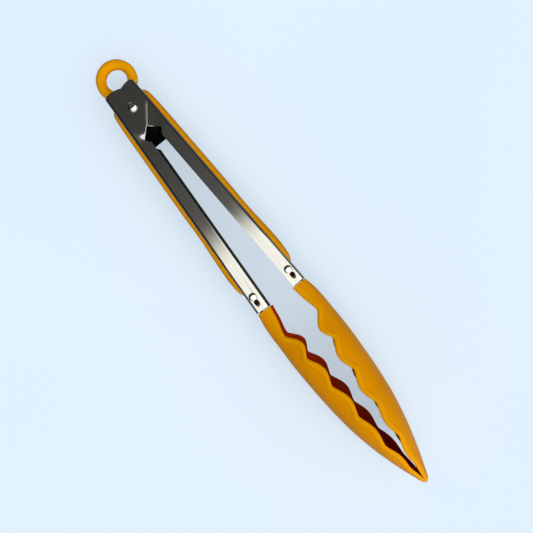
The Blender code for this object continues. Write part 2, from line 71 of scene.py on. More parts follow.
JAW_START_X, TIP_X = 133.6, 266.8
HEEL_X = -13.2
ARM_SPLAY = math.radians(2.75)
LOCK_YAW = math.atan2(LOCK_OUT.y, LOCK_OUT.x) - math.pi

# Channel section, in an arm's own u (along), v (outwards), z
SHEET = 0.8
BEND_R = 1.7
BACK_V = 10.3
LIP_V = 2.5
FLANGE_Z = 9.3
JOGGLE = 0.55
JOGGLE_U, JOGGLE_LEAN, JOGGLE_LENGTH = 16.6, 0.45, 5.6
JOGGLE_SPREAD = 0.3  # share by which the step grows longer for each mm towards the bend
ARM_END_U = 133.4
NOTCH_ROOT_U, NOTCH_ROOT_V = 18.6, 5.1
NOTCH_MOUTH_U = 21.9
NOTCH_SLOPE = 1.02
NOTCH_APEX_U, FAR_SLOPE = 13.3, 0.69
FAR_V = {"a": -8.2, "b": -6.5}
FAR_CORNER_R = 13.0
NEAR_CORNER_R = 1.5
BACK_START_U = -5.0
CUT_EDGE = 0.09  # width of the broken edge all round the sheet
CLOSE_SECTIONS = (4.0, 26.0, 45)  # from u, to u and how many, along the joggle and the notch
FAR_SECTIONS = (60.0, 100.0)
LEAST_SPACING = 0.02

# Holes, studs and rivets
PIN_HOLE_R = 2.3
STUD_U = (45.0, 80.0, 110.0)
STUD_R, STUD_HOLE_R, STUD_HEAD_R, STUD_HEAD_H = 2.5, 2.8, 3.8, 1.2
STUD_HEAD_GAP = 0.3
STUD_EDGE_SHARE = 0.35  # of the head's height that is left at its edge
STUD_TOP_V = BACK_V + 0.9
RIVET_U, RIVET_V = 124.3, 6.5
RIVET_HOLE_R = 1.6
JAW_RIVET = (1.3, 2.3, 0.9)  # radius of the shank and of the head, height of the head
PIVOT_RIVET = (2.0, 2.9, 1.3)
RIVET_SQUARENESS = 0.75  # below 1 squares off a rivet's dome
RIVET_CHAMFER_R, RIVET_CHAMFER_H = 0.15, 0.1  # under a head's edge
RIVET_EDGE_H = 0.18  # where a head's dome starts
SEAT_GAP = 0.02  # between a rivet's head and the sheet
DRILL_PAST, HEEL_CUT_PAST = 2.0, 1.0  # how far the cutters run beyond the sheet
STUD_DRILL_DEPTH = 3.0  # from the back's outer face
TOOLING_HOLE_U, TOOLING_HOLE_R = 127.9, 1.45

# A grip pad
GRIP_START_U, GRIP_END_U = -6.0, 121.0
GRIP_CROWN = ((-6.0, 0.8), (-5.4, 1.6), (-3.5, 2.2), (8.0, 2.7), (60.0, 2.7), (80.0, 2.4), (96.0, 2.9),
              (107.0, 3.1), (116.0, 2.4), (121.0, 1.0))
GRIP_HALF_Z = 7.9
GRIP_END_TAPER = 9.0
GRIP_EVEN_INSET = GRIP_END_TAPER + 3.0  # from each end to where the sections are evenly spaced
GRIP_END_WIDTH_SHARE, GRIP_END_CROWN_SHARE = 0.45, 0.35
GRIP_CROWN_SLOPE = 1.4  # how much faster than the width the crown grows from each end
GRIP_SQUARENESS = 0.55  # below 1 squares off the pad's crown
GRIP_EDGE = 0.25
GRIP_CLEAR = 0.06

# One jaw, as (x, value) points along it: y of its back, half its depth in z, y of its rim in the valleys
JAW_BACK = ((133.6, 16.75), (142.0, 18.4), (155.0, 19.5), (168.0, 19.8), (190.0, 19.0),
            (212.0, 17.0), (232.0, 13.1), (250.0, 7.9), (261.0, 4.0), (265.4, 2.2), (266.8, 1.1))
JAW_HALF_DEPTH = ((133.6, 9.3), (142.0, 10.4), (151.0, 12.6), (161.0, 15.2), (172.0, 17.4),
                  (185.0, 19.2), (198.0, 20.4), (212.0, 21.1), (222.0, 21.2), (233.0, 20.0),
                  (243.0, 17.0), (252.0, 12.9), (259.0, 8.4), (264.0, 4.6), (266.8, 1.6))
RIM_VALLEYS = ((133.6, 8.9), (142.0, 10.2), (151.7, 12.4), (168.5, 10.1), (188.4, 8.4),
               (209.7, 7.0), (231.0, 5.5), (251.0, 2.7), (260.0, 1.1), (266.8, 0.2))
SCALLOP_ENDS = (151.7, 168.5, 188.4, 209.7, 231.0, 251.0)
SCALLOP_RISE = (4.7, 3.5, 3.2, 2.4, 1.9)
SCALLOP_SHARPNESS = 1.3
# How far the oval section's centre lies beyond the rim's valleys, away from the back
RIM_RESERVE = ((133.6, 0.3), (145.0, 2.5), (160.0, 5.0), (178.0, 3.9), (200.0, 3.5),
               (221.0, 2.7), (241.0, 2.1), (255.0, 1.3), (266.8, 0.15))
SQUARENESS = ((133.6, 6.0), (146.0, 3.2), (160.0, 2.4), (266.8, 2.1))  # 2 is a true ellipse
RIM_WALL = 2.0
BACK_WALL = 3.3
SLIM_SHARE = 0.42  # a wall is at most this share of the section's height or half depth
# What fills the shell's root: (x, its size as a share of the outer section)
JAW_FILL = ((JAW_START_X + 0.02, 0.9), (137.0, 0.9), (138.6, 0.82))
BEAD_FLAT, BEAD_WIDTH = 1.3, 2.5  # from the rim to where the bead starts and stops falling away
BEAD_RISE = ((133.6, 0.0), (144.0, 0.1), (156.0, 0.55), (240.0, 0.5), (256.0, 0.3), (265.0, 0.0))
FINE_BAND, FINE_SHARE = 3.2, 0.45  # width of the fine mesh along a rim, and its most as a share
TIP_SECTIONS = (262.0, 263.0, 264.0, 264.8, 265.4, 265.9, 266.3, 266.6)
ROUND_POINTS = 7  # across a rounded rim

# The pull ring
RING_X, RING_R, RING_TUBE_R = -21.6, 9.1, 3.0
RING_SEAM = 0.05  # height of the mould's parting line
RING_SEAM_WIDTH = 0.08  # its half-width as a share of the tube's radius
INSIDE = 0.02  # keeps the fine pieces within the CAD model's flat facets

# The camera, fitted to the photograph
CAMERA_PLACE = (140.0, 20.3, 321.6)
CAMERA_HEADING = math.radians(-52.07)  # of the tongs' length in the picture, from its right
CAMERA_TILT = (1.3, -1.9, 0.11)  # degrees
CAMERA_LENS, CAMERA_SENSOR = 38.17, 36.0
CAMERA_SHIFT = (-0.06, 0.056)
CAMERA_NEAR = 0.01  # metres

FLOOR_HALF_SIZE, FLOOR_GAP = 3.0, 0.0005  # metres

# The studio's light by direction, as ramps (from, to, level before, level after). Along and across
# say where a direction meets a ceiling one unit up, along the tongs and across them
SCREEN_ALONG = ((-0.20, -0.13, 1, 0), (-2.4, -1.3, 0, 1), (-0.45, -0.17, 0.955, 0.92))
SCREEN_ACROSS = ((1.6, 2.6, 1, 0), (-2.6, -1.6, 0, 1))
SIDES_ACROSS = ((0.45, 1.0, 1.0, 0.3), (-0.8, -0.2, 0.1, 1.0))
SKY_BY_RISE = (0.15, 0.98, 0.12, 1.92)
JAW_END_BY_X = (0.15, 0.65, 0.0, 0.75)
LEAST_RISE = 0.05  # lower directions count as this steep
LIGHT_COLOUR, BACKDROP_COLOUR = (1.0, 0.985, 0.945, 1), (0.74, 0.865, 0.98, 1)


# ---------------------------------------------------------------- curves


def through(points, x):
    """The height at x of a smooth curve through the points, level beyond its ends."""
    if x <= points[0][0]:
        return points[0][1]
    if x >= points[-1][0]:
        return points[-1][1]
    i = max(k for k, p in enumerate(points) if p[0] <= x)
    (x0, y0), (x1, y1) = points[i], points[i + 1]

    def slope(k):
        if k in (0, len(points) - 1):
            return (y1 - y0) / (x1 - x0)
        (xa, ya), (xm, ym), (xb, yb) = points[k - 1], points[k], points[k + 1]
        before, after = (ym - ya) / (xm - xa), (yb - ym) / (xb - xm)
        if before * after <= 0:
            return 0.0
        return 2 * before * after / (before + after)

    span = x1 - x0
    t = (x - x0) / span
    return ((1 + 2 * t) * (1 - t) ** 2 * y0 + t * (1 - t) ** 2 * span * slope(i)
            + t * t * (3 - 2 * t) * y1 + t * t * (t - 1) * span * slope(i + 1))


def ease(t):
    """From 0 to 1 with a soft start and end."""
    t = min(max(t, 0.0), 1.0)
    return t * t * (3 - 2 * t)


def spaced(start, end, count):
    return [start + (end - start) * i / (count - 1) for i in range(count)]


def evenly(points, count):
    """The same open curve as count points equally far apart."""
    points = np.array(points, float)
    run = np.concatenate([[0], np.cumsum(np.linalg.norm(np.diff(points, axis=0), axis=1))])
    at = np.linspace(0, run[-1], count)
    return np.stack([np.interp(at, run, points[:, k]) for k in range(points.shape[1])], 1)


# ---------------------------------------------------------------- meshes


def loft(rings, slots=None):
    """A body through rings of as many points each, closed at both ends.

    With slots, the faces that start at a ring's point i take the material slots[i].
    """
    bm = bmesh.new()
    loops = [[bm.verts.new(p) for p in ring] for ring in rings]
    count = len(loops[0])
    for a, b in zip(loops, loops[1:]):
        for i in range(count):
            j = (i + 1) % count
            face = bm.faces.new((a[i], a[j], b[j], b[i]))
            if slots:
                face.material_index = slots[i]
    bm.faces.new(loops[0])
    bm.faces.new(loops[-1])
    bmesh.ops.recalc_face_normals(bm, faces=bm.faces)
    return bm


def lathe(profile, segments=48):
    """A body of revolution about Z from (radius, z) pairs; a radius of 0 closes an end."""
    bm = bmesh.new()
    loops = []
    for r, z in profile:
        if r == 0:
            loops.append([bm.verts.new((0, 0, z))])
            continue
        turn = [2 * math.pi * k / segments for k in range(segments)]
        loops.append([bm.verts.new((r * math.cos(t), r * math.sin(t), z)) for t in turn])
    pairs = list(zip(loops, loops[1:]))
    if profile[0][0] > 0:
        pairs.append((loops[-1], loops[0]))
    for a, b in pairs:
        for i in range(segments):
            j = (i + 1) % segments
            corners = [a[i % len(a)], a[j % len(a)], b[j % len(b)], b[i % len(b)]]
            bm.faces.new(list(dict.fromkeys(corners)))
    bmesh.ops.recalc_face_normals(bm, faces=bm.faces)
    return bm


def prism(outline, low_z, high_z):
    return loft([[(x, y, z) for x, y in outline] for z in (low_z, high_z)])


def block(low, high):
    (x0, y0, z0), (x1, y1, z1) = low, high
    return prism(((x0, y0), (x1, y0), (x1, y1), (x0, y1)), z0, z1)


def joined(*meshes):
    """Several meshes as one."""
    bm = bmesh.new()
    for part in meshes:
        mesh = bpy.data.meshes.new("part")
        part.to_mesh(mesh)
        part.free()
        bm.from_mesh(mesh)
        bpy.data.meshes.remove(mesh)
    return bm


def moved(bm, matrix):
    """The mesh under the matrix. After a mirror its faces are turned outwards again."""
    bmesh.ops.transform(bm, matrix=matrix, verts=bm.verts)
    if matrix.determinant() < 0:
        bmesh.ops.reverse_faces(bm, faces=bm.faces)
    return bm


def as_object(name, bm, looks):
    """The mesh as an object, turned into metres in the row's frame."""
    moved(bm, TO_ROW)
    mesh = bpy.data.meshes.new(name)
    bm.to_mesh(mesh)
    bm.free()
    for look in looks:
        mesh.materials.append(look)
    obj = bpy.data.objects.new(name, mesh)
    bpy.context.scene.collection.objects.link(obj)
    return obj


def boolean(obj, bm, operation):
    """Cuts the mesh from the object, or joins it on, for good."""
    tool = as_object(f"{obj.name}_tool", bm, obj.data.materials[:1])
    modifier = obj.modifiers.new("boolean", "BOOLEAN")
    modifier.operation = operation
    modifier.solver = "EXACT"
    modifier.object = tool
    bake(obj)
    bpy.data.objects.remove(tool)


def bake(obj):
    """Replaces the object's mesh by what its modifiers make of it."""
    graph = bpy.context.evaluated_depsgraph_get()
    made = bpy.data.meshes.new_from_object(obj.evaluated_get(graph))
    old = obj.data
    obj.modifiers.clear()
    obj.data = made
    bpy.data.meshes.remove(old)


def break_edges(obj, width=CUT_EDGE, slot=0, segments=2, angle=math.radians(40)):
    """Small bevels on every sharp edge. With a slot they take that material."""
    modifier = obj.modifiers.new("edges", "BEVEL")
    modifier.width = width * MM
    modifier.segments = segments
    modifier.limit_method = "ANGLE"
    modifier.angle_limit = angle
    modifier.use_clamp_overlap = True
    modifier.material = slot
    bake(obj)


def smooth(obj, angle=math.radians(32)):
    """Smooth shading, with edges sharper than the angle left crisp."""
    obj.data.shade_smooth()
    obj.data.set_sharp_from_angle(angle=angle)
    return obj


def fit(obj, body, slot, *nodes):
    """Sets a finished piece on its body in place of the CAD nodes it stands for."""
    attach(obj, body)
    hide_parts(*nodes)
    return obj


def dress(node, look, width=0.12):
    """A CAD node whose shape is right keeps it, with broken edges and its own material."""
    obj = frame["nodes"][node]
    obj.data.materials.clear()
    obj.data.materials.append(look)
    modifier = obj.modifiers.new("edges", "BEVEL")
    modifier.width = width * MM
    modifier.segments = 2
    modifier.limit_method = "ANGLE"
    modifier.angle_limit = math.radians(40)


# ---------------------------------------------------------------- materials


class Nodes:
    """Short calls for building one material's node tree."""

    def __init__(self, name):
        self.material = bpy.data.materials.new(name)
        self.material.use_nodes = True
        self.tree = self.material.node_tree
        self.shader = self.tree.nodes["Principled BSDF"]

    def link(self, source, target):
        self.tree.links.new(source, target)

    def place(self, scale=(1, 1, 1), turn=0.0):
        """Object coordinates in metres, stretched and turned about Z."""
        where = self.tree.nodes.new("ShaderNodeTexCoord")
        mapping = self.tree.nodes.new("ShaderNodeMapping")
        mapping.inputs["Scale"].default_value = scale
        rotate = self.tree.nodes.new("ShaderNodeVectorRotate")
        rotate.rotation_type = "Z_AXIS"
        rotate.inputs["Angle"].default_value = turn
        self.link(where.outputs["Object"], rotate.inputs["Vector"])
        self.link(rotate.outputs["Vector"], mapping.inputs["Vector"])
        return mapping.outputs["Vector"]

    def noise(self, vector, scale, detail=3.0, roughness=0.5):
        made = self.tree.nodes.new("ShaderNodeTexNoise")
        made.inputs["Scale"].default_value = scale
        made.inputs["Detail"].default_value = detail
        made.inputs["Roughness"].default_value = roughness
        self.link(vector, made.inputs["Vector"])
        return made.outputs["Fac"]

    def spread(self, value, low, high, start=0.3, end=0.7):
        """A value between start and end mapped onto low to high."""
        made = self.tree.nodes.new("ShaderNodeMapRange")
        for name, number in (("From Min", start), ("From Max", end), ("To Min", low), ("To Max", high)):
            made.inputs[name].default_value = number
        self.link(value, made.inputs["Value"])
        return made.outputs["Result"]

    def colours(self, value, low, high):
        made = self.tree.nodes.new("ShaderNodeMix")
        made.data_type = "RGBA"
        made.inputs["A"].default_value = (*low, 1)
        made.inputs["B"].default_value = (*high, 1)
        self.link(value, made.inputs["Factor"])
        return made.outputs["Result"]

    def bump(self, height, strength, distance, after=None):
        made = self.tree.nodes.new("ShaderNodeBump")
        made.inputs["Strength"].default_value = strength
        made.inputs["Distance"].default_value = distance
        self.link(height, made.inputs["Height"])
        if after is not None:
            self.link(after, made.inputs["Normal"])
        return made.outputs["Normal"]

    def set(self, **values):
        for name, value in values.items():
            target = self.shader.inputs[name.replace("_", " ")]
            if isinstance(value, bpy.types.NodeSocket):
                self.link(value, target)
            else:
                target.default_value = value
        return self.material


def brushed_steel(name, turn, low=(0.445, 0.44, 0.412), high=(0.50, 0.495, 0.463), rough=(0.07, 0.10)):
    """Sheet steel brushed lengthwise: long fine scratches, faint handling marks."""
    made = Nodes(name)
    grain = made.noise(made.place((10, 1250, 1250), turn), 1.0, 3.0, 0.55)
    coarse = made.noise(made.place((5, 420, 420), turn), 1.0, 3.0)
    smudge = made.noise(made.place(), 45.0, 3.0)
    normal = made.bump(grain, 0.02, 0.00004)
    normal = made.bump(smudge, 0.015, 0.0002, normal)
    return made.set(
        Base_Color=made.colours(made.spread(coarse, 0, 1), low, high),
        Roughness=made.spread(smudge, *rough),
        Metallic=1.0,
        Normal=normal,
    )


def bright_steel(name, low, high, rough=(0.1, 0.2)):
    """Headed or drawn steel with light tumbling marks."""
    made = Nodes(name)
    marks = made.noise(made.place(), 900.0, 4.0, 0.6)
    return made.set(
        Base_Color=made.colours(made.spread(marks, 0, 1), low, high),
        Roughness=made.spread(marks, *rough),
        Metallic=1.0,
        Normal=made.bump(marks, 0.15, 0.00003),
    )


def silicone(name, low, high, rough=(0.30, 0.42), soft=0.06):
    """Moulded silicone: cloudy colour, a fine satin skin and a little light passing through."""
    made = Nodes(name)
    cloud = made.noise(made.place(), 60.0, 3.0)
    skin = made.noise(made.place(), 2600.0, 3.0, 0.6)
    wave = made.noise(made.place(), 140.0, 2.0)
    normal = made.bump(skin, 0.10, 0.00003)
    normal = made.bump(wave, 0.06, 0.0002, normal)
    return made.set(
        Base_Color=made.colours(made.spread(cloud, 0, 1), low, high),
        Roughness=made.spread(wave, *rough),
        Subsurface_Weight=soft,
        Subsurface_Radius=(0.9, 0.35, 0.05),
        Subsurface_Scale=0.0015,
        Specular_IOR_Level=0.07,
        Specular_Tint=(1.0, 0.62, 0.10, 1.0),
        Normal=normal,
    )


def moulded(name, low, high, rough=(0.38, 0.55), shine=0.2):
    """Hard moulded nylon with a spark-eroded grain."""
    made = Nodes(name)
    cloud = made.noise(made.place(), 120.0, 3.0)
    grain = made.noise(made.place(), 3500.0, 3.0, 0.6)
    return made.set(
        Base_Color=made.colours(made.spread(cloud, 0, 1), low, high),
        Roughness=made.spread(grain, *rough),
        Specular_IOR_Level=shine,
        Normal=made.bump(grain, 0.2, 0.00004),
    )


def floor_paper():
    """Pale paper on a light table: it glows towards the camera, so that shadows on it stay faint.

    Little of that glow reaches the object, as with a backdrop that was whitened afterwards.
    """
    made = Nodes("floor_paper")
    seen = made.tree.nodes.new("ShaderNodeLightPath").outputs["Is Camera Ray"]
    fibre = made.noise(made.place(), 700.0, 4.0)
    cloud = made.spread(made.noise(made.place(), 4.0, 2.0), 0, 1)
    return made.set(
        Base_Color=made.colours(cloud, (0.42, 0.495, 0.57), (0.43, 0.505, 0.58)),
        Emission_Color=made.colours(cloud, (0.72, 0.845, 0.965), (0.735, 0.86, 0.98)),
        Emission_Strength=made.spread(seen, 0.0, 0.585, 0, 1),
        Roughness=0.85,
        Specular_IOR_Level=0.1,
        Normal=made.bump(fibre, 0.04, 0.0001),
    )


# ---------------------------------------------------------------- one arm


def arm_frame(side):
    """From an arm's own u, v, z to the working frame: arm A is the mirror image of arm B."""
    turn = Matrix.Rotation(ARM_SPLAY, 4, "Z")
    return turn if side == "b" else MIRROR_Y @ turn


def notch_line(u):
    """v of the notch's edge, which bends at its apex."""
    before_apex = NOTCH_SLOPE * (NOTCH_ROOT_U - max(u, NOTCH_APEX_U))
    return NOTCH_ROOT_V - before_apex - FAR_SLOPE * max(NOTCH_APEX_U - u, 0.0)


def flange_edge(u, side):
    """v of the flange's free edge at u: past the hinge, along the lock notch, then straight."""
    if u >= NOTCH_MOUTH_U:
        return LIP_V
    if u >= NOTCH_ROOT_U:
        part = (u - NOTCH_ROOT_U) / (NOTCH_MOUTH_U - NOTCH_ROOT_U)
        return NOTCH_ROOT_V + part * (LIP_V - NOTCH_ROOT_V)
    far = FAR_V[side]
    crossing = notch_line(u)
    into_corner = max(HEEL_X + FAR_CORNER_R - u, 0.0)
    rounded = far + FAR_CORNER_R - math.sqrt(max(FAR_CORNER_R**2 - into_corner**2, 0.0))
    return max(crossing, rounded)


def joggle_at(u, v):
    """Share of the joggle's height at a point of the flange, from 1 at the hinge to 0 at the jaws."""
    beyond_root = v - NOTCH_ROOT_V
    length = JOGGLE_LENGTH * (1 + JOGGLE_SPREAD * max(beyond_root, 0.0))
    return 1 - ease((u - JOGGLE_U + JOGGLE_LEAN * beyond_root) / length + 0.5)


def channel_ring(u, side):
    """The folded channel's closed section at u. At the hinge arm A spreads and arm B narrows."""
    step = JOGGLE if side == "a" else -JOGGLE
    near = max(HEEL_X + NEAR_CORNER_R - u, 0.0)
    back = BACK_V - NEAR_CORNER_R + math.sqrt(max(NEAR_CORNER_R**2 - near**2, 0.0))
    bend_v = back - BEND_R
    edge = flange_edge(u, side)

    def half(inset):
        radius = BEND_R - inset
        points = [(v, -(FLANGE_Z - inset)) for v in spaced(edge, bend_v, 9)]
        for t in spaced(0, math.pi / 2, 9)[1:]:
            points.append((bend_v + radius * math.sin(t), -(FLANGE_Z - BEND_R + radius * math.cos(t))))
        return [(v, z - step * joggle_at(u, v)) for v, z in points]

    outer, inner = half(0.0), half(SHEET)
    outside = outer + [(v, -z) for v, z in reversed(outer)]
    inside = [(v, -z) for v, z in inner] + inner[::-1]
    return [(u, v, z) for v, z in outside + inside]


def channel_stations():
    """Where the channel's sections stand: close together round its corners, joggle and notch."""
    far = [HEEL_X + FAR_CORNER_R * (1 - math.cos(t)) for t in spaced(0, math.pi / 2, 17)]
    near = [HEEL_X + NEAR_CORNER_R * (1 - math.cos(t)) for t in spaced(0, math.pi / 2, 7)]
    crossings = [NOTCH_APEX_U + (v - notch_line(NOTCH_APEX_U)) / FAR_SLOPE for v in FAR_V.values()]
    corners = [NOTCH_APEX_U, NOTCH_ROOT_U, NOTCH_MOUTH_U, *FAR_SECTIONS, ARM_END_U]
    found = sorted(set(far + near + crossings + spaced(*CLOSE_SECTIONS) + corners))
    return [u for u, after in zip(found, found[1:] + [math.inf]) if after - u > LEAST_SPACING]


def drill(u, v, radius, low_z, high_z):
    """A round cutter through the flanges."""
    return moved(lathe(((0, low_z), (radius, low_z), (radius, high_z), (0, high_z))),
                 Matrix.Translation((u, v, 0)))


def drill_back(u, radius, low_v, high_v):
    """A round cutter through the back."""
    turned = lathe(((0, low_v), (radius, low_v), (radius, high_v), (0, high_v)))
    return moved(turned, Matrix.Translation((u, 0, 0)) @ Matrix.Rotation(-math.pi / 2, 4, "X"))


def build_channel(side, looks):
    place = arm_frame(side)
    rings = [channel_ring(u, side) for u in channel_stations()]
    half = len(rings[0]) // 2
    # Slot 2 on the inside faces is the near-black steel: painted shade inside the channel
    body = loft(rings, [0] * half + [2] * (half - 1) + [0])
    arm = as_object(f"arm_{side}_sheet", moved(body, place), looks)
    reach, flat = FLANGE_Z + DRILL_PAST, FLANGE_Z - BEND_R
    heel = block((HEEL_X - HEEL_CUT_PAST, BACK_V - BEND_R - NEAR_CORNER_R, -flat),
                 (BACK_START_U, BACK_V + HEEL_CUT_PAST, flat))
    tools = joined(
        drill(0, 0, PIN_HOLE_R, -reach, reach),
        drill(RIVET_U, RIVET_V, RIVET_HOLE_R, -reach, reach),
        drill(TOOLING_HOLE_U, RIVET_V, TOOLING_HOLE_R, -reach, reach),
        heel,
        *(drill_back(u, STUD_HOLE_R, BACK_V - STUD_DRILL_DEPTH, BACK_V + DRILL_PAST) for u in STUD_U),
    )
    boolean(arm, moved(tools, place), "DIFFERENCE")
    break_edges(arm, slot=1)
    smooth(arm, math.radians(25))
    return fit(arm, f"arm_{side}", "brushed_steel", f"arm_{side}_channel")


def grip_ring(u):
    """Section of the pad: flat on the steel, crowned outside, rounded off towards both ends."""
    inside = BACK_V + GRIP_CLEAR
    near_end = min((u - GRIP_START_U), (GRIP_END_U - u)) / GRIP_END_TAPER
    round_off = math.sqrt(max(1 - (1 - min(near_end, 1.0)) ** 2, 0.0))
    half = GRIP_HALF_Z * (GRIP_END_WIDTH_SHARE + (1 - GRIP_END_WIDTH_SHARE) * round_off)
    fullness = min(1.0, round_off * GRIP_CROWN_SLOPE)
    crown = through(GRIP_CROWN, u) - GRIP_CLEAR
    crown *= GRIP_END_CROWN_SHARE + (1 - GRIP_END_CROWN_SHARE) * fullness
    arc = [(crown * abs(math.cos(t)) ** GRIP_SQUARENESS, half * math.sin(t))
           for t in spaced(-math.pi / 2, math.pi / 2, 121)]
    return [(u, inside + rise, z) for rise, z in evenly(arc, 41)]


def stud_profile():
    """(radius, v) along a stud: a domed head inside the channel and a shank out through its back."""
    head_v = BACK_V - SHEET - STUD_HEAD_GAP
    dome = [(STUD_HEAD_R * math.sin(t),
             head_v - STUD_HEAD_H * (STUD_EDGE_SHARE + (1 - STUD_EDGE_SHARE) * math.cos(t)))
            for t in spaced(0, math.pi / 2, 8)]
    dome[0] = (0, head_v - STUD_HEAD_H)
    return dome + [(STUD_HEAD_R, head_v), (STUD_R, head_v), (STUD_R, STUD_TOP_V), (0, STUD_TOP_V)]


def build_grip(side, look):
    place = arm_frame(side)
    taper = [GRIP_END_TAPER * (1 - math.cos(t)) for t in spaced(0, math.pi / 2, 13)]
    ends = [GRIP_START_U + d for d in taper] + [GRIP_END_U - d for d in taper]
    middle = spaced(GRIP_START_U + GRIP_EVEN_INSET, GRIP_END_U - GRIP_EVEN_INSET, 52)
    stations = sorted(ends + middle)
    pad = as_object(f"grip_{side}_pad", moved(loft([grip_ring(u) for u in stations]), place), [look])
    outwards = Matrix.Rotation(-math.pi / 2, 4, "X")
    studs = joined(*(moved(lathe(stud_profile(), 32), Matrix.Translation((u, 0, 0)) @ outwards)
                     for u in STUD_U))
    boolean(pad, moved(studs, place), "UNION")
    break_edges(pad, GRIP_EDGE, segments=3, angle=math.radians(55))
    smooth(pad, math.radians(50))
    return fit(pad, f"arm_{side}", "grip_silicone", f"grip_{side}")


# ---------------------------------------------------------------- one jaw


def rim_edge(x):
    """y of the jaw's scalloped rim."""
    edge = through(RIM_VALLEYS, x)
    for start, end, rise in zip(SCALLOP_ENDS, SCALLOP_ENDS[1:], SCALLOP_RISE):
        if start < x < end:
            edge -= rise * math.sin(math.pi * (x - start) / (end - start)) ** SCALLOP_SHARPNESS
    return edge


def rim_steps(half_length):
    """Distances from the rim to the middle of the back, close together along the bead."""
    close = min(FINE_BAND, FINE_SHARE * half_length)
    return spaced(0, close, 15) + spaced(close, half_length, 18)[1:]


def jaw_outer(x):
    """The outside of the jaw's section from rim to rim, and each point's distance from its rim.

    The section is a flattened half-oval cut off at the scalloped rim.
    """
    middle = through(RIM_VALLEYS, x) - through(RIM_RESERVE, x)
    wide = through(JAW_BACK, x) - middle
    deep = through(JAW_HALF_DEPTH, x)
    power = 2 / through(SQUARENESS, x)
    last = math.acos(min(max((rim_edge(x) - middle) / wide, 0.0), 1.0) ** (1 / power))
    turns = np.sin(np.linspace(-math.pi / 2, 0, 401)) * last
    curve = np.array([(middle + wide * math.cos(t) ** power, -deep * abs(math.sin(t)) ** power)
                      for t in turns])
    run = np.concatenate([[0], np.cumsum(np.linalg.norm(np.diff(curve, axis=0), axis=1))])
    steps = np.array(rim_steps(run[-1]))
    half = np.stack([np.interp(steps, run, curve[:, k]) for k in (0, 1)], 1)
    other = half[-2::-1] * (1, -1)
    return np.concatenate([half, other]), np.concatenate([steps, steps[-2::-1]])


def jaw_section(x):
    """The jaw's closed section: outside with a bead along each rim, rounded rims, and inside.

    Also gives each point's material: 0 outside, 1 inside, a deep red copy that is painted shade,
    and 2 on the bead, a brighter copy that is painted light.
    """
    outer, from_rim = jaw_outer(x)
    count = len(outer)
    ahead = np.gradient(outer, axis=0)
    ahead /= np.linalg.norm(ahead, axis=1)[:, None]
    outward = np.stack([ahead[:, 1], -ahead[:, 0]], 1)
    slim = SLIM_SHARE * min(through(JAW_BACK, x) - through(RIM_VALLEYS, x), through(JAW_HALF_DEPTH, x))
    rim_wall, back_wall = min(RIM_WALL, slim), min(BACK_WALL, slim)
    fall = np.clip((from_rim - BEAD_FLAT) / (BEAD_WIDTH - BEAD_FLAT), 0, 1)
    sunk = through(BEAD_RISE, x) * fall * fall * (3 - 2 * fall)
    deep = np.clip(from_rim / from_rim.max(), 0, 1)
    wall = rim_wall + (back_wall - rim_wall) * deep * deep * (3 - 2 * deep)
    skin = outer - outward * sunk[:, None]
    inside = outer - outward * wall[:, None]

    def rim_round(start, end, away):
        centre, arm = (start + end) / 2, (start - end) / 2
        across = away * np.linalg.norm(arm)
        turn = spaced(0, math.pi, ROUND_POINTS + 2)[1:-1]
        return [tuple(centre + arm * math.cos(s) + across * math.sin(s)) for s in turn]

    points = [tuple(p) for p in skin]
    points += rim_round(skin[-1], inside[-1], ahead[-1])
    points += [tuple(p) for p in inside[::-1]]
    points += rim_round(inside[0], skin[0], -ahead[0])
    half_round = ROUND_POINTS // 2
    # Slot 2 paints light onto the bead and half of each rim's round; slot 1 paints shade on the inside
    slots = [2 if d < BEAD_WIDTH else 0 for d in from_rim[:-1]] + [2] * half_round
    slots += [1] * (len(points) - len(slots) - half_round) + [2] * half_round
    return points, slots


def jaw_rings():
    waves = [x for a, b in zip(SCALLOP_ENDS, SCALLOP_ENDS[1:]) for x in spaced(a, b, 21)[:-1]]
    stations = spaced(JAW_START_X, SCALLOP_ENDS[0], 19)[:-1] + waves
    stations += spaced(SCALLOP_ENDS[-1], TIP_SECTIONS[0], 13)[:-1]
    stations += [*TIP_SECTIONS, TIP_X - INSIDE]
    slimmer = 1 - INSIDE / max(depth for _, depth in JAW_HALF_DEPTH)
    return [[(x, y, z * slimmer) for y, z in jaw_section(x)[0]] for x in stations]


def build_jaw(side, looks):
    mirror = Matrix.Identity(4) if side == "b" else MIRROR_Y
    slots = jaw_section(JAW_START_X)[1]
    shell = as_object(f"jaw_{side}_spoon", moved(loft(jaw_rings(), slots), mirror), looks)
    fill_rings = []
    for x, share in JAW_FILL:
        outer = jaw_outer(x)[0]
        middle = outer.mean(0)
        fill_rings.append([(x, *(middle + (p - middle) * share)) for p in outer])
    boolean(shell, moved(loft(fill_rings), mirror), "UNION")
    smooth(shell, math.radians(45))
    return fit(shell, f"arm_{side}", "jaw_silicone", f"jaw_{side}_shell")


# ---------------------------------------------------------------- hinge, spring, lock


def rivet_profile(shank_r, head_r, head_h, seat_z):
    """(radius, z) along a rivet's section, with the same domed head at both ends."""
    dome_z, dome_h = seat_z + RIVET_EDGE_H, head_h - RIVET_EDGE_H
    dome = [(head_r * math.cos(t) ** RIVET_SQUARENESS, dome_z + dome_h * math.sin(t))
            for t in spaced(0, math.pi / 2, 16)]
    dome[-1] = (0, seat_z + head_h)
    under = [(shank_r, seat_z), (head_r - RIVET_CHAMFER_R, seat_z), (head_r, seat_z + RIVET_CHAMFER_H)]
    top = under + dome
    return [(r, -z) for r, z in reversed(top)] + top


def build_rivet(name, place, sizes, body, look, node):
    rivet = as_object(name, moved(lathe(rivet_profile(*sizes), 48), place), [look])
    smooth(rivet, math.radians(40))
    return fit(rivet, body, "bright_steel", node)


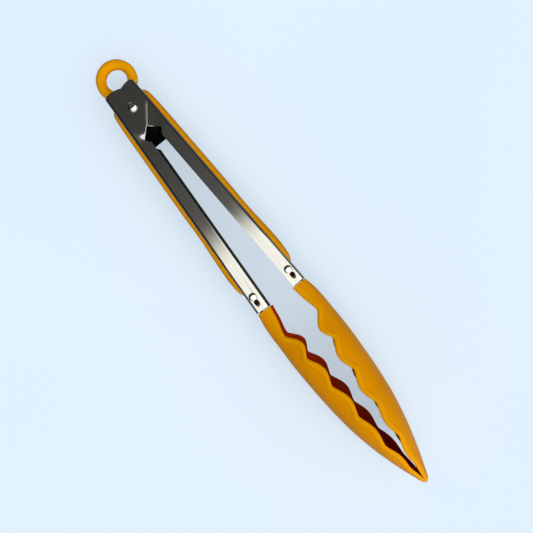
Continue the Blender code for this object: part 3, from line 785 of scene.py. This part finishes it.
def build_ring(look):
    tube = []
    for t in spaced(0, 2 * math.pi, 41)[:-1]:
        seam = RING_SEAM * math.exp(-(math.sin(t) / RING_SEAM_WIDTH) ** 2)
        radius = RING_TUBE_R - RING_SEAM - 2 * INSIDE + seam
        tube.append((RING_R + radius * math.cos(t), radius * math.sin(t)))
    place = Matrix.Rotation(LOCK_YAW, 4, "Z") @ Matrix.Translation((RING_X, 0, 0))
    ring = smooth(as_object("pull_ring_skin", moved(lathe(tube, 120), place), [look]))
    return fit(ring, "lock", "ring_silicone", "pull_ring")


def dress_inner_nodes(looks):
    """The hidden and half-hidden CAD parts keep their shape."""
    for node, look in looks.items():
        dress(node, look)
        smooth(frame["nodes"][node], math.radians(40))


# ---------------------------------------------------------------- stage


def add_camera():
    """The photographer's view: almost straight down, with the tongs across the picture's diagonal."""
    right = Vector((math.cos(CAMERA_HEADING), -math.sin(CAMERA_HEADING), 0))
    up = Vector((math.sin(CAMERA_HEADING), math.cos(CAMERA_HEADING), 0))
    basis = Matrix((right, up, Vector((0, 0, 1)))).transposed()
    tilt = Euler([math.radians(a) for a in CAMERA_TILT]).to_matrix().transposed()
    data = bpy.data.cameras.new("camera")
    data.lens = CAMERA_LENS
    data.sensor_width = CAMERA_SENSOR
    data.shift_x, data.shift_y = CAMERA_SHIFT
    data.clip_start = CAMERA_NEAR
    camera = bpy.data.objects.new("camera", data)
    bpy.context.scene.collection.objects.link(camera)
    place = TO_ROW @ Vector(CAMERA_PLACE)
    camera.matrix_world = Matrix.Translation(place) @ (basis @ tilt).to_4x4()
    bpy.context.scene.camera = camera


def add_floor():
    bm = bmesh.new()
    bmesh.ops.create_grid(bm, x_segments=8, y_segments=8, size=FLOOR_HALF_SIZE)
    mesh = bpy.data.meshes.new("floor")
    bm.to_mesh(mesh)
    bm.free()
    mesh.materials.append(floor_paper())
    floor = bpy.data.objects.new("floor", mesh)
    bpy.context.scene.collection.objects.link(floor)
    floor.location.z = CAD_BOUNDS[0].z - FLOOR_GAP


def add_world():
    """A pale studio: brightest overhead, dim at both sides, with a dark screen above the hinge end.

    The brushed flanges see the screen at the hinge end and the bright ceiling at the jaw end. The
    camera itself sees a plain pale backdrop instead.
    """
    world = bpy.data.worlds.new("studio")
    world.use_nodes = True
    tree = world.node_tree
    background = tree.nodes["Background"]
    where = tree.nodes.new("ShaderNodeTexCoord")
    split = tree.nodes.new("ShaderNodeSeparateXYZ")
    tree.links.new(where.outputs["Generated"], split.inputs["Vector"])

    def maths(operation, a, b):
        made = tree.nodes.new("ShaderNodeMath")
        made.operation = operation
        for socket, value in zip(made.inputs, (a, b)):
            if isinstance(value, bpy.types.NodeSocket):
                tree.links.new(value, socket)
            else:
                socket.default_value = value
        return made.outputs[0]

    def ramp(value, start, end, low, high):
        made = tree.nodes.new("ShaderNodeMapRange")
        made.interpolation_type = "SMOOTHSTEP"
        for name, number in (("From Min", start), ("From Max", end), ("To Min", low), ("To Max", high)):
            made.inputs[name].default_value = number
        tree.links.new(value, made.inputs["Value"])
        return made.outputs["Result"]

    def product(factors):
        whole, *rest = factors
        for factor in rest:
            whole = maths("MULTIPLY", whole, factor)
        return whole

    x, y, rise = (split.outputs[axis] for axis in "XYZ")
    steep = maths("MAXIMUM", rise, LEAST_RISE)
    along, across = maths("DIVIDE", x, steep), maths("DIVIDE", y, steep)
    screen = product([ramp(along, *r) for r in SCREEN_ALONG] + [ramp(across, *r) for r in SCREEN_ACROSS])
    sky = product([ramp(rise, *SKY_BY_RISE)] + [ramp(across, *r) for r in SIDES_ACROSS])
    level = maths("ADD", sky, ramp(x, *JAW_END_BY_X))
    strength = maths("MULTIPLY", level, maths("SUBTRACT", 1.0, screen))
    tree.links.new(strength, background.inputs["Strength"])
    background.inputs["Color"].default_value = LIGHT_COLOUR
    backdrop = tree.nodes.new("ShaderNodeBackground")
    backdrop.inputs["Color"].default_value = BACKDROP_COLOUR
    choice = tree.nodes.new("ShaderNodeMixShader")
    tree.links.new(tree.nodes.new("ShaderNodeLightPath").outputs["Is Camera Ray"], choice.inputs["Fac"])
    tree.links.new(background.outputs[0], choice.inputs[1])
    tree.links.new(backdrop.outputs[0], choice.inputs[2])
    tree.links.new(choice.outputs[0], tree.nodes["World Output"].inputs["Surface"])
    bpy.context.scene.world = world
    bpy.context.scene.view_settings.view_transform = "Standard"


# ---------------------------------------------------------------- the whole


def main():
    edge = bright_steel("cut_edge", (0.38, 0.375, 0.355), (0.47, 0.465, 0.44), (0.18, 0.28))
    # Painted shade: the channel's inside faces get this near-black copy of the sheet steel
    inside = bright_steel("inside_steel_painted_shade", (0.035, 0.034, 0.032), (0.06, 0.058, 0.055), (0.4, 0.55))
    bright = bright_steel("rivet_steel", (0.66, 0.66, 0.65), (0.76, 0.76, 0.75), (0.05, 0.12))
    wire = bright_steel("spring_wire", (0.16, 0.16, 0.155), (0.22, 0.22, 0.21), (0.25, 0.4))
    jaw_look = silicone("jaw_silicone", (0.89, 0.335, 0.0003), (0.93, 0.355, 0.0005))
    # Painted shade and painted light: a deep red copy of the silicone inside, a brighter copy on the
    # bead
    jaw_inside_painted_shade = silicone("jaw_silicone_inside_painted_shade", (0.55, 0.030, 0.0003), (0.61, 0.040, 0.0004))
    jaw_bead_painted_light = silicone("jaw_silicone_rim_painted_light", (0.95, 0.40, 0.0003), (0.97, 0.42, 0.0005))
    grip_look = silicone("grip_silicone", (0.80, 0.325, 0.0003), (0.84, 0.345, 0.0005), (0.42, 0.55))
    ring_look = silicone("ring_silicone", (0.93, 0.395, 0.0003), (0.96, 0.41, 0.0005), (0.34, 0.46))
    # Painted shade: the orange nylon core is coloured dark brown, as it looks in the channel's shade
    core_nylon_painted_shade = moulded("orange_nylon", (0.16, 0.045, 0.003), (0.20, 0.06, 0.004))
    # Partly painted shade: black nylon, but with almost no colour or gloss so it reads as deep shade
    black_and_painted_shade = moulded("black_nylon", (0.0015, 0.0015, 0.0015), (0.003, 0.003, 0.003), (0.85, 0.95), 0.04)
    strip = brushed_steel("strip_steel", -LOCK_YAW)

    # The lock head's steel pin takes the black nylon as painted shade, since it sits in shadow
    inner = {"pivot_spacer": strip, "spring_bush": black_and_painted_shade, "spring_coil": wire, "lock_strip": strip,
             "lock_head": black_and_painted_shade, "lock_head_pin": black_and_painted_shade}
    for side in "ab":
        turn = -ARM_SPLAY if side == "b" else ARM_SPLAY
        sheet = brushed_steel(f"sheet_steel_{side}", turn)
        build_channel(side, [sheet, edge, inside])
        build_grip(side, grip_look)
        build_jaw(side, [jaw_look, jaw_inside_painted_shade, jaw_bead_painted_light])
        rivet_at = arm_frame(side) @ Matrix.Translation((RIVET_U, RIVET_V, 0))
        build_rivet(f"jaw_{side}_rivet_head", rivet_at, (*JAW_RIVET, FLANGE_Z + SEAT_GAP), f"arm_{side}",
                    bright, f"jaw_{side}_rivet")
        inner |= {f"jaw_{side}_core": core_nylon_painted_shade, f"spring_leg_{side}": wire}
    build_rivet("pivot_rivet", Matrix.Identity(4), (*PIVOT_RIVET, FLANGE_Z + JOGGLE + SEAT_GAP), "hinge",
                bright, "pivot_pin")
    build_ring(ring_look)
    dress_inner_nodes(inner)
    add_floor()
    add_camera()
    add_world()


main()
